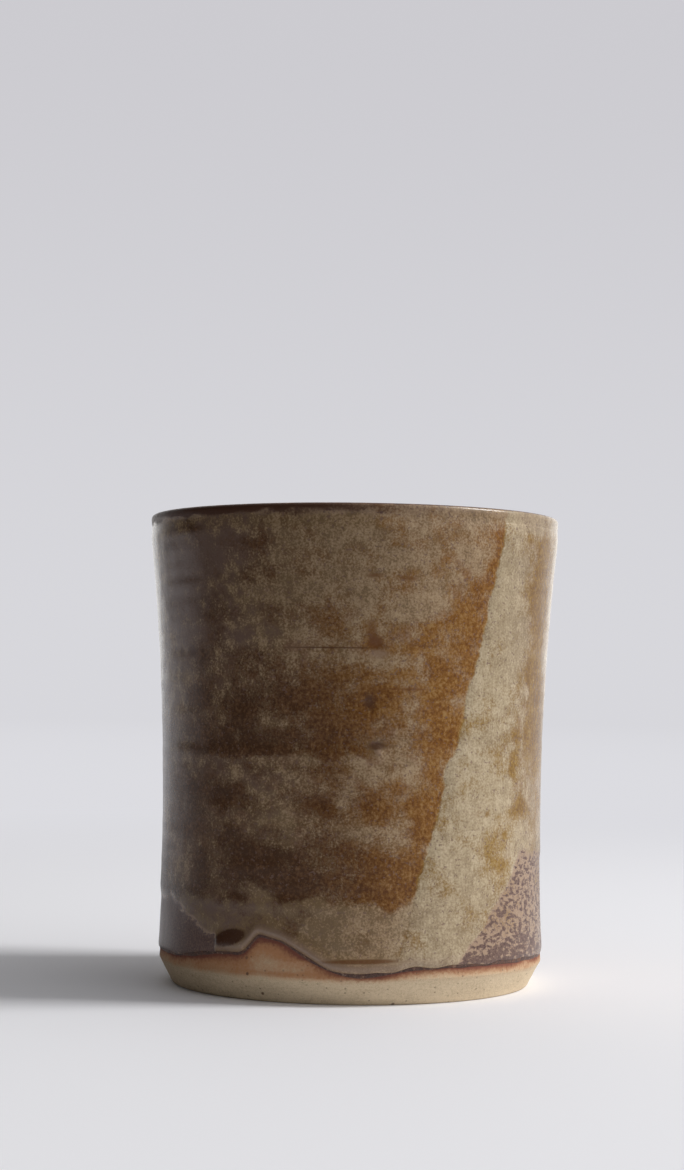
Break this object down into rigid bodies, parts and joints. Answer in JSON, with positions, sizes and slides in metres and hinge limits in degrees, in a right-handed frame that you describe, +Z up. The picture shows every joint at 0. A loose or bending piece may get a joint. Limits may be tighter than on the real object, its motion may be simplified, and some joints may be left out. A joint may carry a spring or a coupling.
{
  "type": "yunomi tea cup",
  "caption": "Handleless stoneware tea cup with a waisted, flared wall, bevelled bare-clay foot and mottled ash glaze over dark iron slip, crossed by a slanting pale pour.",
  "frame": {"origin": "on the table plane, under the middle of the foot", "axes": "+Z up along the axis on which the cup was thrown; -Y is the front, the side with the notch in the glaze line; +X is the right side as seen from the front"},
  "size_m": [0.0802, 0.0802, 0.09],
  "materials": {
    "clay": "bare buff stoneware with fine dark specks, matt",
    "slip": "dark purple-brown iron slip, satin",
    "ash": "mottled tan and rust ash glaze, satin gloss",
    "pour": "pale speckled tan glaze, satin gloss",
    "liner": "tan liner glaze pooled on the floor, gloss"
  },
  "bodies": {
    "root": {"clay_body": "clay", "iron_slip": "slip", "ash_glaze": "ash", "pale_pour": "pour", "liner_glaze": "liner"}
  },
  "joints": []
}
